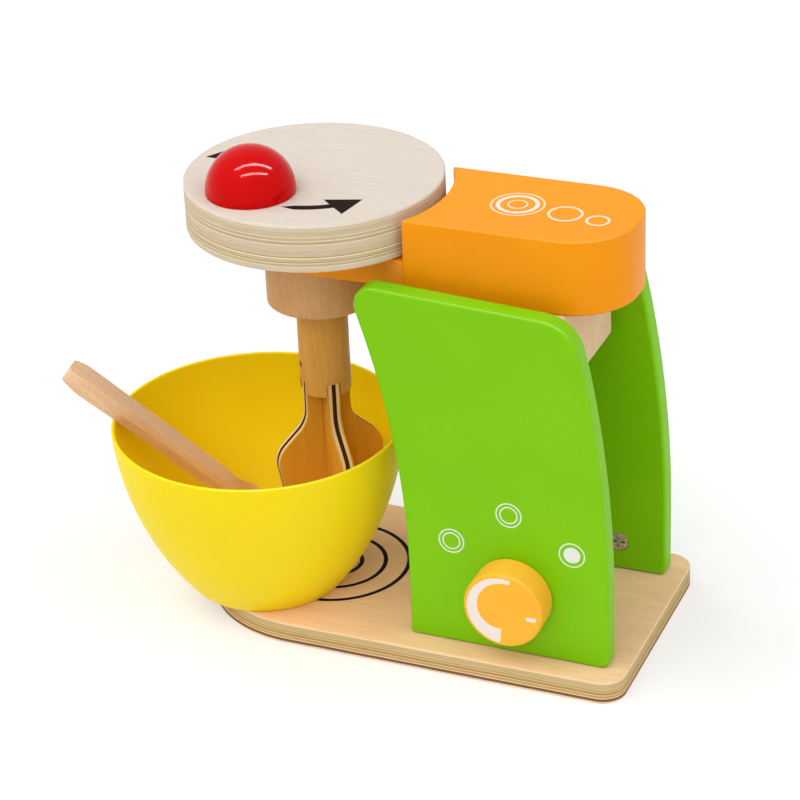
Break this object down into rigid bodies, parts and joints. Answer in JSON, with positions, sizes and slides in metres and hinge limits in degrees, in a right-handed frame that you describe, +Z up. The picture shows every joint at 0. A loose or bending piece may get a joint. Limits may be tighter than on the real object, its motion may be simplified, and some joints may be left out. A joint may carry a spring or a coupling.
{
  "type": "toy stand mixer",
  "caption": "Wooden toy stand mixer with a tilting head, a hand-turned turntable and beater, a dial, a loose bowl and a spoon.",
  "frame": {"origin": "On the table under the beater's axis, at the underside of the base board.", "axes": "+X to the rear of the mixer, along the base board; +Y to the far panel; +Z up along the beater's axis."},
  "size_m": [0.2692, 0.1444, 0.2328],
  "materials": {
    "plywood": "clear-lacquered birch plywood",
    "plain_wood": "clear-lacquered solid wood",
    "dark_wood": "plain",
    "green_paint": "satin paint on wood",
    "orange_paint": "satin paint on wood",
    "yellow_paint": "satin paint on wood",
    "red_lacquer": "high-gloss lacquer on wood",
    "bowl_plastic": "matte moulded",
    "washer_plastic": "plain",
    "steel": "zinc plated"
  },
  "bodies": {
    "base": {"base_board": "plywood", "near_panel": "green_paint", "far_panel": "green_paint", "panel_bolts": "steel", "barrel_nuts": "steel", "pivot_rod": "plain_wood", "pivot_spacers": "plain_wood", "front_stop_rod": "plain_wood", "rear_stop_rod": "plain_wood"},
    "head": {"pivot_block": "plain_wood", "block_screws": "steel", "head_block": "orange_paint", "collar": "plain_wood", "disc_washer": "washer_plastic"},
    "beater": {"turntable_disc": "plywood", "red_knob": "red_lacquer", "knob_screw": "steel", "beater_shaft": "plain_wood", "thrust_washer": "washer_plastic", "blade_a": "plywood", "blade_b": "plywood", "blade_pin": "dark_wood"},
    "dial": {"dial": "yellow_paint", "dial_screw": "steel", "dial_washer": "steel"},
    "bowl": {"bowl": "bowl_plastic"},
    "spoon": {"spoon": "plain_wood"}
  },
  "joints": [
    {"name": "head_tilt", "type": "hinge", "parent": "base", "child": "head", "pos_m": [0.1, 0, 0.155], "axis": [0, 1, 0], "range_deg": [0, 60]},
    {"name": "beater_spin", "type": "hinge", "parent": "head", "child": "beater", "pos_m": [0, 0, 0.15], "axis": [0, 0, 1], "continuous": true},
    {"name": "dial_turn", "type": "hinge", "parent": "base", "child": "dial", "pos_m": [0.1078, -0.0465, 0.0415], "axis": [0, 1, 0], "continuous": true},
    {"name": "bowl_shift", "type": "slide", "parent": "base", "child": "bowl", "axis": [1, 0, 0], "range_m": [-0.0015, 0.008]},
    {"name": "spoon_pull", "type": "slide", "parent": "bowl", "child": "spoon", "axis": [-0.4922, -0.459, 0.7396], "range_m": [0, 0.04]}
  ]
}
